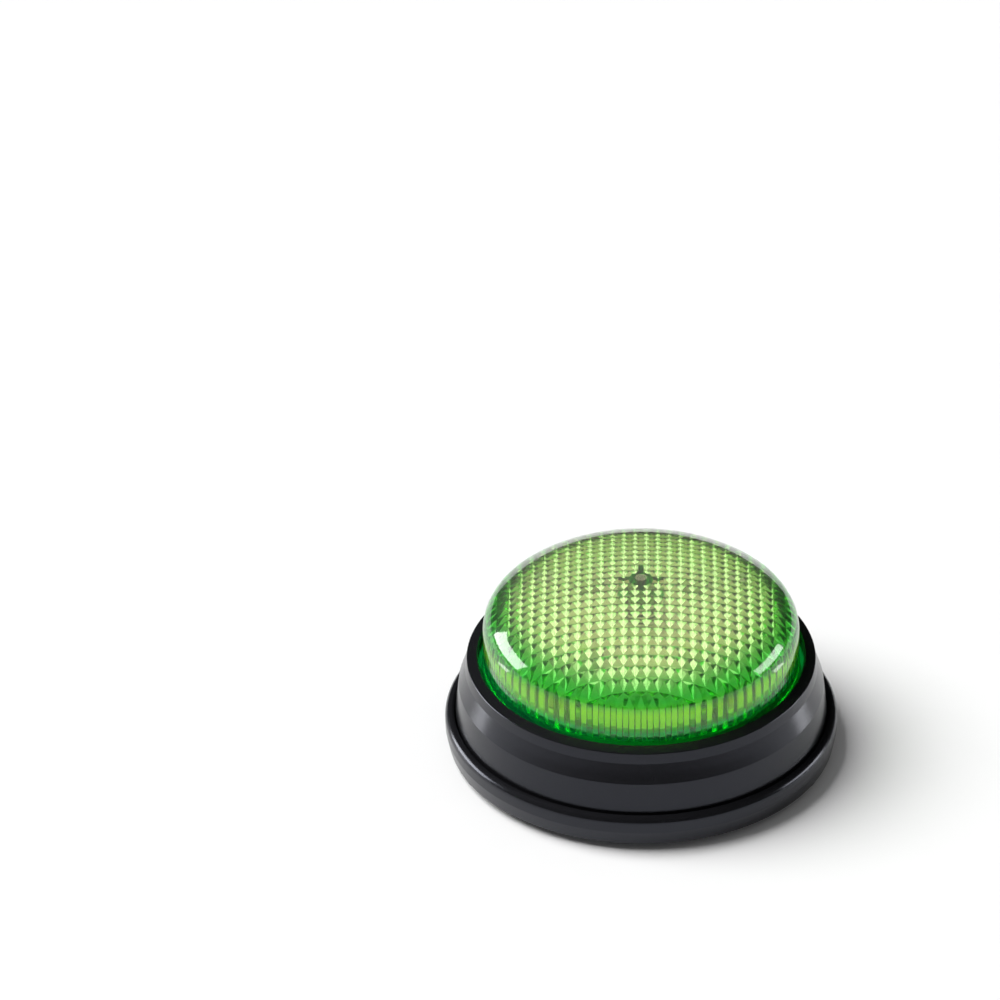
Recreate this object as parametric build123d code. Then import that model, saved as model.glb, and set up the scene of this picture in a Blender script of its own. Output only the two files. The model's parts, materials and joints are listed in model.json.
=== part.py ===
from build123d import *
import os
from math import cos, sin, tan, radians, hypot

# A round, battery-powered quiz buzzer: a wide translucent dome is the push button, held by a black
# two-piece housing on four rubber feet. Millimetres, Z up, the table is z = 0, the buzzer's axis is
# the Z axis and its front is towards -Y.

# Tray: the lower moulding, with the battery bay, the screw bosses and the speaker ring.
TRAY_RADIUS = 44.45
TRAY_FOOT_RADIUS = 43.85
TRAY_BOTTOM = 2.0
FLOOR_THICKNESS = 2.4
FLOOR_TOP = TRAY_BOTTOM + FLOOR_THICKNESS
TRAY_TOP = 8.9
TRAY_WIDEST = 5.2
TRAY_ROUND = 1.6
TRAY_LIP_RADIUS = 42.4
TRAY_LIP_BEVEL = 0.3

# Upper housing: a straight wall, a crease, a hollow flare and a collar round the dome's opening.
NECK_RADIUS = 41.95
WALL_FOOT_RADIUS = 42.05
WALL_FOOT = 9.1
CREASE_RADIUS = 41.2
CREASE = 15.9
FLARE_MIDDLE = (40.41, 18.09)
COLLAR_RADIUS = 39.7
COLLAR = 20.3
RIM_RADIUS = 39.3
RIM = 22.8
RIM_ROUND = 0.35
OPENING_RADIUS = 36.65
OPENING_TOP = 23.4
LIP_UNDERSIDE = 21.6
GUIDE_RADIUS = 37.65
GUIDE_BOTTOM = 18.4
INNER_WALL_RADIUS = 39.7
INNER_WALL_TOP = 14.4

# Three guide ribs inside the collar keep the dome from turning.
RIB_COUNT = 3
RIB_WIDTH = 2.0
RIB_INNER_RADIUS = 36.5
NOTCH_CLEARANCE = 0.4

# Dome: three arcs that run into each other, from the flat crown to the upright wall.
DOME_TOP = 43.75
CROWN_RADIUS, CROWN_ANGLE = 83.0, 16.0
HAUNCH_RADIUS, HAUNCH_ANGLE = 28.2, 38.3
CORNER_RADIUS, CORNER_ANGLE = 7.65, 90.0
DOME_WALL = 2.4
DOME_BOTTOM = 20.0
FLANGE_RADIUS = 37.3
FLANGE_TOP = 21.5
FLUTE_COUNT = 80
FLUTE_CREST_RADIUS = 33.0
FLUTE_ROOT_RADIUS = 33.85
FLUTE_TOP = 30.8
POST_RADIUS = 2.7
POST_BORE = 1.35
POST_END_WALL = 1.5
GUSSET_REACH = 5.0
GUSSET_THICKNESS = 1.2
GUSSET_BOTTOM = 32.05

# Press: the dome's travel, and the tactile switch that stops it.
TRAVEL = 2.5
SWITCH_TRAVEL = 0.25
SWITCH_SIDE = 6.0
SWITCH_BODY_HEIGHT = 3.5
SWITCH_HEIGHT = 5.0
PLUNGER_RADIUS = 1.75
PLUNGER_BORE = 1.8
STOP_GAP = 0.05

# Circuit board and the white reflector above it.
BOARD_RADIUS = 30.0
BOARD_BOTTOM = 17.0
BOARD_THICKNESS = 1.6
BOARD_TOP = BOARD_BOTTOM + BOARD_THICKNESS
REFLECTOR_RADIUS = 28.6
REFLECTOR_BOTTOM = 19.8
REFLECTOR_THICKNESS = 1.2
REFLECTOR_TOP = REFLECTOR_BOTTOM + REFLECTOR_THICKNESS
REFLECTOR_RIM_TOP = 22.2
REFLECTOR_RIM_WIDTH = 1.2
SPRING_SEAT = 23.0
SEAT_BORE = 4.5
SEAT_RADIUS = 6.4
LEG_RADIUS = 2.6

# Return spring round the post.
SPRING_RADIUS = 4.6
SPRING_WIRE = 0.3
SPRING_TURNS = 5

# Lamps on the board.
LAMP_CIRCLE = 15.0
LAMP_ANGLES = {"front_left": 225, "front_right": 315, "rear_right": 45, "rear_left": 135}
LAMP_RADIUS = 2.5
LAMP_COLLAR_RADIUS = 2.9
LAMP_COLLAR_HEIGHT = 1.0
LAMP_HEIGHT = 8.6
LEAD_RADIUS = 0.28
LEAD_HOLE = 0.45
LEAD_PITCH = 2.54
LEAD_BELOW = 0.8

# Fasteners: four from below join tray and housing, four hold board and reflector, one the door.
HOUSING_SCREW_CIRCLE = 36.2
HOUSING_SCREW_ANGLES = (-115, -65, 5, 175)
HOUSING_SCREW_LENGTH = 11.0
HOUSING_SCREW_SHANK = 1.3
HOUSING_SCREW_HEAD = 2.5
HEAD_HEIGHT = 1.3
HEAD_SINK = 1.5
SHANK_CLEARANCE = 0.3
BOSS_RADIUS = 3.0
BOSS_TOP = 16.4
BOSS_RIB = 1.6
BOSS_RIB_REACH = 40.2
BOSS_CLEARANCE = 0.1
BOARD_SCREW_PLACES = ((-17.0, -18.0), (17.0, -18.0), (20.0, 14.0), (-20.0, 14.0))
BOARD_SCREW_LENGTH = 5.9
BOARD_SCREW_SHANK = 1.0
BOARD_SCREW_HEAD = 2.1
POST_BOSS_RADIUS = 2.4
THREAD_PLAY = 0.02
RECESS_WIDTH = 0.55
RECESS_DEPTH = 0.7
DRIVE_SHARE = 0.62

# Rubber feet near the edge, stuck in shallow recesses.
FOOT_CIRCLE = 39.5
FOOT_ANGLES = {"front_left": -154, "front_right": -26, "rear_right": 48, "rear_left": 132}
FOOT_RADIUS = 3.5
FOOT_RECESS = 0.5
FOOT_GAP = 0.1
FOOT_ROUND = 0.5

# Speaker over a grille in the tray's floor.
SPEAKER_Y = -20.0
SPEAKER_RADIUS = 13.5
SPEAKER_RING_GAP = 0.3
SPEAKER_RING_WALL = 1.2
SPEAKER_RING_TOP = 7.6
GASKET_INNER = 11.8
GASKET_THICKNESS = 0.6
GRILLE_HOLE = 0.9
GRILLE_PITCH = 4.2
GRILLE_REACH = 9.0
MAGNET_RADIUS = 6.5
MAGNET_HEIGHT = 2.0
BASKET_TOP = 8.4
BASKET_SKIN = 0.6

# Battery bay: two AAA cells side by side, loaded from below behind a screwed door.
BAY_Y = 12.0
BAY_LENGTH = 52.8
BAY_WIDTH = 22.6
BAY_ROOF = 14.5
BAY_WALL = 1.2
CELL_RADIUS = 5.2
CELL_LENGTH = 43.7
NUB_RADIUS = 1.9
NUB_HEIGHT = 0.8
CELL_ROUND = 0.5
CELL_PITCH = 11.3
CELL_Z = 8.8
CELL_SHIFT = 2.2
DOOR_THICKNESS = 1.3
DOOR_REBATE = 1.4
DOOR_GAP = 0.3
DOOR_SINK = 0.05
DOOR_LEFT = -28.0
DOOR_RIGHT = 28.3
DOOR_REBATE_LEFT = -28.4
DOOR_WIDTH = 24.6
EAR_RIGHT = 33.0
EAR_WIDTH = 10.0
EAR_ROUND = 2.0
TONGUE_Y = (6.0, 18.0)
TONGUE_WIDTH = 4.0
TONGUE_LEFT = -29.9
TONGUE_BOTTOM = 2.7
POCKET_LEFT = -30.4
POCKET_RIGHT = -27.7
POCKET_BOTTOM = 2.6
DOOR_GRIP_COUNT = 5
DOOR_GRIP_PITCH = 1.8
DOOR_GRIP_LENGTH = 9.0
DOOR_GRIP_WIDTH = 0.7
DOOR_GRIP_DEPTH = 0.35
DOOR_GRIP_X = 20.0
DOOR_SCREW_X = 29.9
DOOR_SCREW_SHANK = 1.25
DOOR_SCREW_HEAD = 2.3
DOOR_SCREW_HEAD_HEIGHT = 0.8
DOOR_SCREW_TOP = 7.2
DOOR_BOSS_RADIUS = 3.0
DOOR_BOSS_TOP = 9.2
DOOR_BOSS_BORE = 1.6

# Battery contacts.
CONTACT_SHEET = 0.4
CONTACT_X = 26.3
CONTACT_HALF_WIDTH = 4.2
CONTACT_BOTTOM = 4.7
CONTACT_TOP = 13.4
COIL_WIRE = 0.25
COIL_RADIUS = 3.4
COIL_TURNS = 4
COIL_END_GAP = 0.1
DIMPLE_RADIUS = 2.4
DIMPLE_TIP = 1.2
DIMPLE_HEIGHT = 1.4
TAB_WIDTH = 3.0
TAB_BOTTOM = 10.0
TAB_HEIGHT = 1.0
TAB_REACH = -28.6
TAB_SLOT_GAP = 0.2

# Small parts on the board's underside.
CHIP_PLACE = (-2.5, -14.5)
CHIP_RADIUS = 4.2
CHIP_HEIGHT = 1.4
CAPACITOR_PLACE = (20.5, -9.0)
CAPACITOR_RADIUS = 2.5
CAPACITOR_HEIGHT = 6.6
RESISTOR_PLACES = {"resistor_front": -4.6, "resistor_rear": -2.0}
RESISTOR_X = 18.0
RESISTOR_LENGTH = 6.3
RESISTOR_RADIUS = 0.95
RESISTOR_WAIST = 0.75
RESISTOR_SPAN = 10.2
RESISTOR_DROP = 1.6
RESISTOR_LEG = 0.36

# Wires inside the housing.
WIRE_RADIUS = 0.55
BEND_SHARE = 0.45
SOLDER_LAND = 0.35
RED_ROUTE = ((-28.7, 15.6, 10.5), (-31.0, 10.5, 11.0), (-31.2, 3.5, 11.6), (-28.0, -3.0, 12.2),
             (-23.6, -7.2, 13.2), (-22.6, -8.0, BOARD_BOTTOM - SOLDER_LAND))
BLACK_ROUTE = ((-28.7, 4.2, 10.5), (-29.0, -1.0, 10.6), (-26.2, -5.6, 11.2), (-21.8, -9.8, 12.0),
               (-18.2, -12.2, 13.2), (-17.2, -12.8, BOARD_BOTTOM - SOLDER_LAND))
SPEAKER_ROUTE = ((2.4, -11.8, 8.95), (2.6, -9.6, 10.6), (3.2, -7.4, 12.4), (3.6, -6.2, 14.4),
                 (3.8, -5.8, BOARD_BOTTOM - SOLDER_LAND))


def polar(radius, degrees):
    """The place at that radius and angle about the buzzer's axis."""
    return (radius * cos(radians(degrees)), radius * sin(radians(degrees)))


def turned(lines):
    """A solid of revolution about Z from a closed outline in the XZ plane."""
    return revolve(make_face(lines), Axis.Z)


def outline(*points):
    """A closed chain of straight lines through (radius, height) points."""
    return Polyline(*[(radius, 0, height) for radius, height in points], close=True)


def disc(radius, bottom, top, place=(0, 0)):
    """An upright cylinder between two heights."""
    cylinder = Cylinder(radius, top - bottom, align=(Align.CENTER, Align.CENTER, Align.MIN))
    return Pos(place[0], place[1], bottom) * cylinder


def block(x_range, y_range, z_range):
    """A box between two limits on each axis."""
    low, high = zip(x_range, y_range, z_range)
    size = [b - a for a, b in zip(low, high)]
    return Pos(*low) * Box(*size, align=Align.MIN)


def around(middle, width):
    """The limits of a width about its middle."""
    return (middle - width / 2, middle + width / 2)


def group(solids):
    """Separate identical solids kept together as one piece."""
    return Compound(children=list(solids))


# --- Tray ---------------------------------------------------------------------------------------

BAY_ENDS = around(0, BAY_LENGTH)
BAY_SIDES = around(BAY_Y, BAY_WIDTH)
HOUSING_SCREWS = [polar(HOUSING_SCREW_CIRCLE, angle) for angle in HOUSING_SCREW_ANGLES]
CONTACT_Y = {"front": BAY_Y - CELL_PITCH / 2, "rear": BAY_Y + CELL_PITCH / 2}


def tray_shell():
    """The dish: a floor with an upright rim that is rounded over at its top edge."""
    middle = TRAY_RADIUS - TRAY_ROUND * (1 - cos(radians(45)))
    shoulder = TRAY_TOP - TRAY_ROUND * (1 - sin(radians(45)))
    base = Line((0, 0, TRAY_BOTTOM), (TRAY_FOOT_RADIUS, 0, TRAY_BOTTOM))
    flank = Line(base @ 1, (TRAY_RADIUS, 0, TRAY_WIDEST))
    side = Line(flank @ 1, (TRAY_RADIUS, 0, TRAY_TOP - TRAY_ROUND))
    edge = ThreePointArc(side @ 1, (middle, 0, shoulder), (TRAY_RADIUS - TRAY_ROUND, 0, TRAY_TOP))
    inside = Polyline(
        edge @ 1,
        (TRAY_LIP_RADIUS, 0, TRAY_TOP - TRAY_LIP_BEVEL),
        (TRAY_LIP_RADIUS, 0, FLOOR_TOP),
        (0, 0, FLOOR_TOP),
        (0, 0, TRAY_BOTTOM),
    )
    return turned(base + flank + side + edge + inside)


def grille_places():
    """A staggered grid of places over the speaker's cone."""
    rows = int(GRILLE_REACH // (GRILLE_PITCH * sin(radians(60))))
    places = []
    for row in range(-rows, rows + 1):
        for column in range(-rows, rows + 1):
            x = (column + row % 2 / 2) * GRILLE_PITCH
            y = row * GRILLE_PITCH * sin(radians(60))
            if hypot(x, y) <= GRILLE_REACH:
                places.append((x, SPEAKER_Y + y))
    return places


def base_tray():
    tray = tray_shell()
    walls = around(0, BAY_LENGTH + 2 * BAY_WALL), around(BAY_Y, BAY_WIDTH + 2 * BAY_WALL)
    tray += block(*walls, (FLOOR_TOP, BAY_ROOF + BAY_WALL))
    ring_inner = SPEAKER_RADIUS + SPEAKER_RING_GAP
    place = (0, SPEAKER_Y)
    ring = disc(ring_inner + SPEAKER_RING_WALL, FLOOR_TOP, SPEAKER_RING_TOP, place)
    tray += ring - disc(ring_inner, FLOOR_TOP, SPEAKER_RING_TOP, place)
    tray += disc(DOOR_BOSS_RADIUS, FLOOR_TOP, DOOR_BOSS_TOP, (DOOR_SCREW_X, BAY_Y))
    for place in BOARD_SCREW_PLACES:
        bottom = FLOOR_TOP if place[1] < 0 else BAY_ROOF + BAY_WALL
        tray += disc(POST_BOSS_RADIUS, bottom, BOARD_BOTTOM, place)
    tray -= block(BAY_ENDS, BAY_SIDES, (TRAY_BOTTOM, BAY_ROOF))
    tray -= door_rebate()
    tip = REFLECTOR_TOP - BOARD_SCREW_LENGTH
    for place in BOARD_SCREW_PLACES:
        tray -= disc(BOARD_SCREW_SHANK + THREAD_PLAY, tip, BOARD_BOTTOM, place)
    tray -= disc(DOOR_BOSS_BORE, TRAY_BOTTOM, DOOR_BOSS_TOP - BAY_WALL, (DOOR_SCREW_X, BAY_Y))
    for place in HOUSING_SCREWS:
        tray -= disc(HOUSING_SCREW_HEAD + SHANK_CLEARANCE, TRAY_BOTTOM, TRAY_BOTTOM + HEAD_SINK, place)
        tray -= disc(HOUSING_SCREW_SHANK + SHANK_CLEARANCE, TRAY_BOTTOM, FLOOR_TOP, place)
    for angle in FOOT_ANGLES.values():
        recess = FOOT_RADIUS + FOOT_GAP
        tray -= disc(recess, TRAY_BOTTOM, TRAY_BOTTOM + FOOT_RECESS, polar(FOOT_CIRCLE, angle))
    for place in grille_places():
        tray -= disc(GRILLE_HOLE, TRAY_BOTTOM, FLOOR_TOP, place)
    for y in CONTACT_Y.values():
        slot = TAB_WIDTH + 2 * TAB_SLOT_GAP
        height = (TAB_BOTTOM - TAB_SLOT_GAP, TAB_BOTTOM + TAB_HEIGHT + TAB_SLOT_GAP)
        tray -= block((TAB_REACH, BAY_ENDS[0]), around(y, slot), height)
    return tray


def door_rebate():
    """The step that the battery door lies in, with the pockets for its tongues."""
    height = (TRAY_BOTTOM, TRAY_BOTTOM + DOOR_REBATE)
    width = DOOR_WIDTH + 2 * DOOR_GAP
    rebate = block((DOOR_REBATE_LEFT, DOOR_RIGHT + DOOR_GAP), around(BAY_Y, width), height)
    ear = block((DOOR_RIGHT, EAR_RIGHT + DOOR_GAP), around(BAY_Y, EAR_WIDTH + 2 * DOOR_GAP), height)
    rebate += fillet(ear.edges().filter_by(Axis.Z).sort_by(Axis.X)[-2:], EAR_ROUND)
    for y in TONGUE_Y:
        width = TONGUE_WIDTH + 2 * DOOR_GAP
        rebate += block((POCKET_LEFT, POCKET_RIGHT), around(y, width), (POCKET_BOTTOM, FLOOR_TOP))
    return rebate


# --- Upper housing ------------------------------------------------------------------------------


def upper_housing():
    wall_round = WALL_FOOT_RADIUS - NECK_RADIUS
    lean = cos(radians(45)) * wall_round
    neck = Line((NECK_RADIUS, 0, FLOOR_TOP), (NECK_RADIUS, 0, WALL_FOOT - wall_round))
    foot = ThreePointArc(
        neck @ 1,
        (NECK_RADIUS + lean, 0, WALL_FOOT - lean),
        (WALL_FOOT_RADIUS, 0, WALL_FOOT),
    )
    wall = Line(foot @ 1, (CREASE_RADIUS, 0, CREASE))
    flare = ThreePointArc(wall @ 1, (FLARE_MIDDLE[0], 0, FLARE_MIDDLE[1]), (COLLAR_RADIUS, 0, COLLAR))
    collar = Line(flare @ 1, (RIM_RADIUS, 0, RIM - RIM_ROUND))
    rim = ThreePointArc(
        collar @ 1,
        (RIM_RADIUS - RIM_ROUND * (1 - cos(radians(45))), 0, RIM - RIM_ROUND * (1 - sin(radians(45)))),
        (RIM_RADIUS - RIM_ROUND, 0, RIM),
    )
    inside = Polyline(
        rim @ 1,
        (OPENING_RADIUS + RIM_ROUND, 0, OPENING_TOP),
        (OPENING_RADIUS, 0, OPENING_TOP - RIM_ROUND),
        (OPENING_RADIUS, 0, LIP_UNDERSIDE),
        (GUIDE_RADIUS, 0, LIP_UNDERSIDE),
        (GUIDE_RADIUS, 0, GUIDE_BOTTOM),
        (INNER_WALL_RADIUS, 0, INNER_WALL_TOP),
        (INNER_WALL_RADIUS, 0, FLOOR_TOP),
        neck @ 0,
    )
    housing = turned(neck + foot + wall + flare + collar + rim + inside)
    bottom = FLOOR_TOP + BOSS_CLEARANCE
    for place, angle in zip(HOUSING_SCREWS, HOUSING_SCREW_ANGLES):
        rib = block((HOUSING_SCREW_CIRCLE, BOSS_RIB_REACH), around(0, BOSS_RIB), (bottom, BOSS_TOP))
        housing += disc(BOSS_RADIUS, bottom, BOSS_TOP, place) + Rot(0, 0, angle) * rib
    for place in HOUSING_SCREWS:
        top = TRAY_BOTTOM + HEAD_SINK + HOUSING_SCREW_LENGTH
        housing -= disc(HOUSING_SCREW_SHANK + THREAD_PLAY, bottom, top, place)
    for index in range(RIB_COUNT):
        reach = (RIB_INNER_RADIUS, GUIDE_RADIUS + BOSS_CLEARANCE)
        rib = block(reach, around(0, RIB_WIDTH), (GUIDE_BOTTOM, LIP_UNDERSIDE))
        housing += Rot(0, 0, 90 + index * 360 / RIB_COUNT) * rib
    return housing


# --- Dome ---------------------------------------------------------------------------------------


def dome_arcs(inset):
    """The dome's three arcs, drawn inwards of its surface by that inset, from crown to wall."""
    centre = Vector(0, 0, DOME_TOP - CROWN_RADIUS)
    radius, start = CROWN_RADIUS, 0.0
    arcs = []
    joints = ((HAUNCH_RADIUS, CROWN_ANGLE), (CORNER_RADIUS, HAUNCH_ANGLE), (CORNER_RADIUS, CORNER_ANGLE))
    for next_radius, stop in joints:
        points = []
        for angle in (start, (start + stop) / 2, stop):
            direction = Vector(sin(radians(angle)), 0, cos(radians(angle)))
            points.append(centre + direction * (radius - inset))
        arcs.append(ThreePointArc(*points))
        direction = Vector(sin(radians(stop)), 0, cos(radians(stop)))
        centre = centre + direction * (radius - next_radius)
        radius, start = next_radius, stop
    return arcs


def flute_prism():
    """A many-pointed star, upright, that cuts the flutes inside the dome's wall."""
    points = []
    for index in range(FLUTE_COUNT):
        step = 360 / FLUTE_COUNT
        points.append(polar(FLUTE_ROOT_RADIUS, index * step))
        points.append(polar(FLUTE_CREST_RADIUS, (index + 0.5) * step))
    star = make_face(Polyline(*points, close=True))
    return extrude(Pos(0, 0, DOME_BOTTOM) * star, FLUTE_TOP - DOME_BOTTOM)


def dome_lens():
    outer = dome_arcs(0)
    inner = dome_arcs(DOME_WALL)
    skirt_radius = (outer[-1] @ 1).X
    cavity_radius = (inner[-1] @ 1).X
    shell_side = Polyline(
        outer[-1] @ 1,
        (skirt_radius, 0, FLANGE_TOP),
        (FLANGE_RADIUS, 0, FLANGE_TOP),
        (FLANGE_RADIUS, 0, DOME_BOTTOM),
        (0, 0, DOME_BOTTOM),
        (0, 0, DOME_TOP),
    )
    lens = turned(outer[0] + outer[1] + outer[2] + shell_side)
    cavity_side = Polyline(
        inner[-1] @ 1,
        (cavity_radius, 0, DOME_BOTTOM),
        (0, 0, DOME_BOTTOM),
        (0, 0, DOME_TOP - DOME_WALL),
    )
    lens -= turned(inner[0] + inner[1] + inner[2] + cavity_side)
    lens -= flute_prism()
    post_top = DOME_TOP - DOME_WALL / 2
    post_end = BOARD_TOP + SWITCH_HEIGHT - SWITCH_TRAVEL + TRAVEL + STOP_GAP
    lens += disc(POST_RADIUS, post_end, post_top)
    gusset = block(around(0, 2 * GUSSET_REACH), around(0, GUSSET_THICKNESS), (GUSSET_BOTTOM, post_top))
    lens += gusset + Rot(0, 0, 90) * gusset
    lens -= disc(POST_BORE, post_end + POST_END_WALL, post_top)
    for index in range(RIB_COUNT):
        width = RIB_WIDTH + 2 * NOTCH_CLEARANCE
        reach = (RIB_INNER_RADIUS - NOTCH_CLEARANCE, FLANGE_RADIUS + NOTCH_CLEARANCE)
        notch = block(reach, around(0, width), (DOME_BOTTOM, FLANGE_TOP))
        lens -= Rot(0, 0, 90 + index * 360 / RIB_COUNT) * notch
    return lens


def return_spring():
    height = GUSSET_BOTTOM - SPRING_SEAT - 2 * SPRING_WIRE
    path = Helix(height / SPRING_TURNS, height, SPRING_RADIUS)
    section = Plane(path @ 0, z_dir=path % 0) * Circle(SPRING_WIRE)
    return Pos(0, 0, SPRING_SEAT + SPRING_WIRE) * sweep(section, path)


# --- Board, reflector and lamps -----------------------------------------------------------------

LAMP_PLACES = {name: polar(LAMP_CIRCLE, angle) for name, angle in LAMP_ANGLES.items()}


def lead_places(place):
    """Where a lamp's two leads go through the board."""
    return [(place[0] + side * LEAD_PITCH / 2, place[1]) for side in (-1, 1)]


def circuit_board():
    board = disc(BOARD_RADIUS, BOARD_BOTTOM, BOARD_TOP)
    for place in BOARD_SCREW_PLACES:
        board -= disc(BOARD_SCREW_SHANK + SHANK_CLEARANCE, BOARD_BOTTOM, BOARD_TOP, place)
    for place in LAMP_PLACES.values():
        for lead in lead_places(place):
            board -= disc(LEAD_HOLE, BOARD_BOTTOM, BOARD_TOP, lead)
    return board


def reflector_plate():
    """A white dish that throws the lamps' light up, with a seat for the return spring."""
    rim_inner = REFLECTOR_RADIUS - REFLECTOR_RIM_WIDTH
    dish = disc(REFLECTOR_RADIUS, REFLECTOR_BOTTOM, REFLECTOR_RIM_TOP)
    dish -= turned(outline(
        (0, REFLECTOR_TOP),
        (rim_inner - (REFLECTOR_RIM_TOP - REFLECTOR_TOP), REFLECTOR_TOP),
        (rim_inner, REFLECTOR_RIM_TOP),
        (0, REFLECTOR_RIM_TOP),
    ))
    dish += disc(SEAT_RADIUS, REFLECTOR_BOTTOM, SPRING_SEAT)
    for place in BOARD_SCREW_PLACES:
        dish += disc(LEG_RADIUS, BOARD_TOP, REFLECTOR_TOP, place)
    dish -= disc(SEAT_BORE, REFLECTOR_BOTTOM, SPRING_SEAT)
    for place in BOARD_SCREW_PLACES:
        dish -= disc(BOARD_SCREW_SHANK + SHANK_CLEARANCE, BOARD_TOP, REFLECTOR_TOP, place)
        dish -= disc(BOARD_SCREW_HEAD + SHANK_CLEARANCE, REFLECTOR_TOP, REFLECTOR_RIM_TOP, place)
    for place in LAMP_PLACES.values():
        dish -= disc(LAMP_COLLAR_RADIUS + SHANK_CLEARANCE, REFLECTOR_BOTTOM, REFLECTOR_TOP, place)
    return dish


def lamp(place):
    """A round-topped lamp with a collar at its foot and two leads through the board."""
    x, y = place
    body = disc(LAMP_RADIUS, BOARD_TOP, BOARD_TOP + LAMP_HEIGHT, place)
    top = body.edges().filter_by(GeomType.CIRCLE).sort_by(Axis.Z)[-1:]
    body = fillet(top, LAMP_RADIUS - LEAD_RADIUS)
    body += disc(LAMP_COLLAR_RADIUS, BOARD_TOP, BOARD_TOP + LAMP_COLLAR_HEIGHT, (x, y))
    for lead in lead_places(place):
        body += disc(LEAD_RADIUS, BOARD_BOTTOM - LEAD_BELOW, BOARD_TOP, lead)
    return body


def switch_body():
    half = (-SWITCH_SIDE / 2, SWITCH_SIDE / 2)
    body = block(half, half, (BOARD_TOP, BOARD_TOP + SWITCH_BODY_HEIGHT))
    body = chamfer(body.edges().filter_by(Axis.Z), RECESS_WIDTH)
    bore_bottom = BOARD_TOP + SWITCH_BODY_HEIGHT - 2 * SWITCH_TRAVEL - RECESS_DEPTH
    return body - disc(PLUNGER_BORE, bore_bottom, BOARD_TOP + SWITCH_BODY_HEIGHT)


def switch_plunger():
    """The button of the tactile switch, sunk a little into its body."""
    bottom = BOARD_TOP + SWITCH_BODY_HEIGHT - RECESS_DEPTH
    button = disc(PLUNGER_RADIUS, bottom, BOARD_TOP + SWITCH_HEIGHT)
    return chamfer(button.edges().sort_by(Axis.Z)[-1], SWITCH_TRAVEL)


def sound_chip():
    """A blob of black resin over the bare chip, under the board."""
    curvature = (CHIP_RADIUS**2 + CHIP_HEIGHT**2) / (2 * CHIP_HEIGHT)
    tip = BOARD_BOTTOM - CHIP_HEIGHT
    ball = Pos(*CHIP_PLACE, tip + curvature) * Sphere(curvature)
    return ball & disc(CHIP_RADIUS, tip - CHIP_HEIGHT, BOARD_BOTTOM, CHIP_PLACE)


def capacitor():
    """A can hanging from the board's underside, with the groove near its sealed end."""
    top = BOARD_BOTTOM
    neck = CAPACITOR_RADIUS - RECESS_DEPTH / 2
    can = outline(
        (0, top),
        (CAPACITOR_RADIUS, top),
        (CAPACITOR_RADIUS, top - RECESS_DEPTH),
        (neck, top - 2 * RECESS_DEPTH),
        (CAPACITOR_RADIUS, top - 3 * RECESS_DEPTH),
        (CAPACITOR_RADIUS, top - CAPACITOR_HEIGHT + RECESS_WIDTH),
        (CAPACITOR_RADIUS - RECESS_WIDTH, top - CAPACITOR_HEIGHT),
        (0, top - CAPACITOR_HEIGHT),
    )
    return Pos(*CAPACITOR_PLACE, 0) * turned(can)


def resistor(y):
    """A waisted resistor lying across the board's underside on its two bent leads."""
    height = BOARD_BOTTOM - RESISTOR_DROP
    half = RESISTOR_LENGTH / 2
    cap = half / 2
    body = turned(outline(
        (0, -half),
        (RESISTOR_RADIUS, -half),
        (RESISTOR_RADIUS, -cap),
        (RESISTOR_WAIST, -cap),
        (RESISTOR_WAIST, cap),
        (RESISTOR_RADIUS, cap),
        (RESISTOR_RADIUS, half),
        (0, half),
    ))
    body += Pos(0, 0, -RESISTOR_SPAN / 2) * Cylinder(
        LEAD_RADIUS, RESISTOR_SPAN, align=(Align.CENTER, Align.CENTER, Align.MIN))
    part = Pos(RESISTOR_X, y, height) * Rot(0, 90, 0) * body
    for x in around(RESISTOR_X, RESISTOR_SPAN):
        part += disc(RESISTOR_LEG, height - RESISTOR_LEG, BOARD_BOTTOM, (x, y))
    return part


# --- Speaker ------------------------------------------------------------------------------------

GASKET_TOP = FLOOR_TOP + GASKET_THICKNESS


def speaker_gasket():
    ring = disc(SPEAKER_RADIUS, FLOOR_TOP, GASKET_TOP) - disc(GASKET_INNER, FLOOR_TOP, GASKET_TOP)
    return Pos(0, SPEAKER_Y, 0) * ring


def speaker_basket():
    """The pressed steel frame behind the cone."""
    rim = SPEAKER_RADIUS - BASKET_SKIN
    mouth = rim - BASKET_SKIN
    shoulder = GASKET_TOP + 2 * BASKET_SKIN
    back = MAGNET_RADIUS + 2 * BASKET_SKIN
    basket = outline(
        (mouth, GASKET_TOP),
        (SPEAKER_RADIUS, GASKET_TOP),
        (SPEAKER_RADIUS, GASKET_TOP + BASKET_SKIN),
        (rim, GASKET_TOP + BASKET_SKIN),
        (rim, shoulder),
        (back, BASKET_TOP),
        (0, BASKET_TOP),
        (0, BASKET_TOP - BASKET_SKIN),
        (back - BASKET_SKIN / 2, BASKET_TOP - BASKET_SKIN),
        (mouth, shoulder - BASKET_SKIN / 2),
    )
    return Pos(0, SPEAKER_Y, 0) * turned(basket)


def speaker_magnet():
    magnet = disc(MAGNET_RADIUS, BASKET_TOP, BASKET_TOP + MAGNET_HEIGHT)
    magnet = chamfer(magnet.edges().sort_by(Axis.Z)[-1], BASKET_SKIN / 2)
    return Pos(0, SPEAKER_Y, 0) * magnet


def speaker_cone():
    """The thin cone with a domed dust cap in its middle."""
    skin = BASKET_SKIN / 2
    edge = SPEAKER_RADIUS - 2 * BASKET_SKIN - skin
    voice = MAGNET_RADIUS / 2
    deep = BASKET_TOP - 2 * BASKET_SKIN - skin
    cone = outline(
        (edge, GASKET_TOP),
        (edge, GASKET_TOP + skin),
        (voice, deep),
        (0, deep - 2 * BASKET_SKIN),
        (0, deep - 2 * BASKET_SKIN - skin),
        (voice, deep - skin),
        (edge - 2 * skin, GASKET_TOP),
    )
    return Pos(0, SPEAKER_Y, 0) * turned(cone)


# --- Power --------------------------------------------------------------------------------------


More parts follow.
